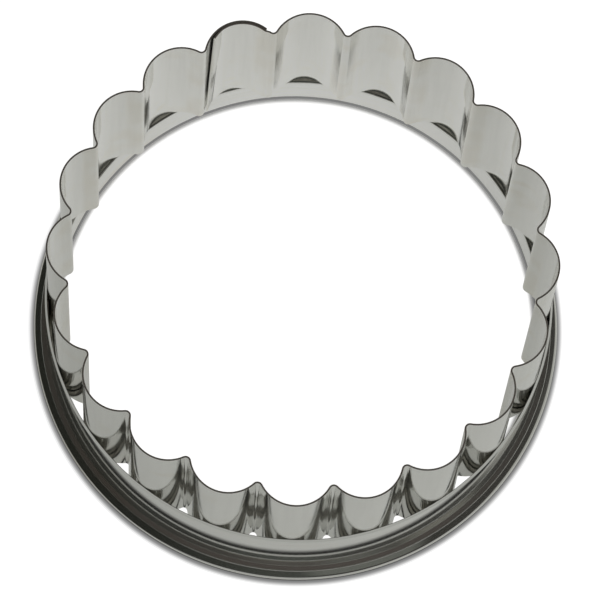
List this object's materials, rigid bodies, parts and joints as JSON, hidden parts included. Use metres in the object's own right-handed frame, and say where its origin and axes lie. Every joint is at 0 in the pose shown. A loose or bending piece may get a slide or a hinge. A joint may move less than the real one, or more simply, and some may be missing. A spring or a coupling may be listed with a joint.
{
  "type": "linzer cookie cutter",
  "caption": "Round scalloped cookie cutter: a fluted steel cutting wall with a lap seam, spot-welded into a grip ring with a rolled brim.",
  "frame": {"origin": "centre of the brim's underside, on the axis of the cutter, at the surface that it stands on", "axes": "+Z along the axis, from the brim up to the cutting edge; +Y towards a crest of the wall at the back of the picture, with the lap seam on the next scallop counterclockwise; +X to the right"},
  "size_m": [0.0744, 0.0744, 0.0348],
  "materials": {
    "wall_steel": "bright rolled sheet",
    "ring_steel": "bright rolled sheet",
    "weld_steel": "dull weld spot"
  },
  "bodies": {
    "root": {"fluted_wall": "wall_steel", "grip_ring": "ring_steel", "rim_welds": "weld_steel", "lap_welds": "weld_steel"}
  },
  "joints": []
}
